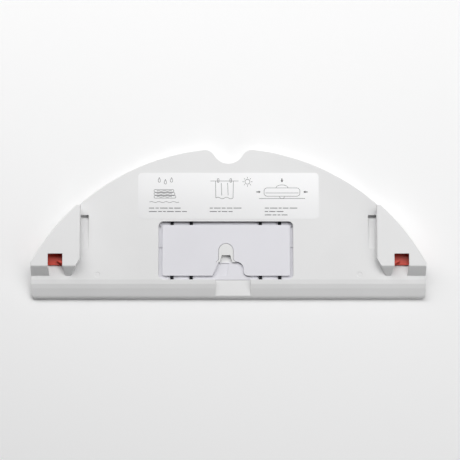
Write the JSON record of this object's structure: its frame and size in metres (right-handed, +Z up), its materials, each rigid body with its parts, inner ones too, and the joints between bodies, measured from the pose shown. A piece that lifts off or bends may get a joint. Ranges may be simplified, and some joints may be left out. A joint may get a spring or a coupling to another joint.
{
  "type": "robot vacuum mop bracket",
  "caption": "Half-round mop plate carrier with raised side rails, spring catches at both ends and a driven scrubbing plate in a window at its middle.",
  "frame": {"origin": "middle of the footprint, on the plane that the hook strips rest on", "axes": "+X along the carrier's width, +Y towards its curved rear edge, +Z up, away from the floor"},
  "size_m": [0.3066, 0.1166, 0.0185],
  "materials": {
    "shell": "fine satin, off-white",
    "insert": "fine satin, slightly bluish white",
    "catch": "satin red",
    "rubber": "matt black",
    "steel": "plain",
    "hook_tape": "short stiff hooks",
    "film": "clear printed film"
  },
  "bodies": {
    "carrier": {"top_shell": "shell", "bottom_cover": "shell", "left_arc_hook_strip": "hook_tape", "right_arc_hook_strip": "hook_tape", "left_front_hook_strip": "hook_tape", "right_front_hook_strip": "hook_tape", "cover_screws": "steel", "instruction_label": "film", "left_latch_spring": "steel", "right_latch_spring": "steel"},
    "scrubber": {"drive_plate": "insert", "drive_socket": "shell", "scrub_plate": "shell", "scrub_hook_strip": "hook_tape", "plate_screws": "steel", "rear_glide_pad_1": "rubber", "rear_glide_pad_2": "rubber", "rear_glide_pad_3": "rubber", "rear_glide_pad_4": "rubber", "front_glide_pad_1": "rubber", "front_glide_pad_2": "rubber", "front_glide_pad_3": "rubber", "front_glide_pad_4": "rubber"},
    "left_catch": {"left_latch": "catch"},
    "right_catch": {"right_latch": "catch"}
  },
  "joints": [
    {"name": "scrub_slide", "type": "slide", "parent": "carrier", "child": "scrubber", "axis": [1, 0, 0], "range_m": [-0.002, 0.002]},
    {"name": "left_latch_slide", "type": "slide", "parent": "carrier", "child": "left_catch", "axis": [1, 0, 0], "range_m": [0, 0.0035], "stiffness_N_per_m": 600, "springref_m": -0.002, "deforming": ["left_latch_spring"]},
    {"name": "right_latch_slide", "type": "slide", "parent": "carrier", "child": "right_catch", "axis": [-1, 0, 0], "range_m": [0, 0.0035], "stiffness_N_per_m": 600, "springref_m": -0.002, "deforming": ["right_latch_spring"]}
  ]
}
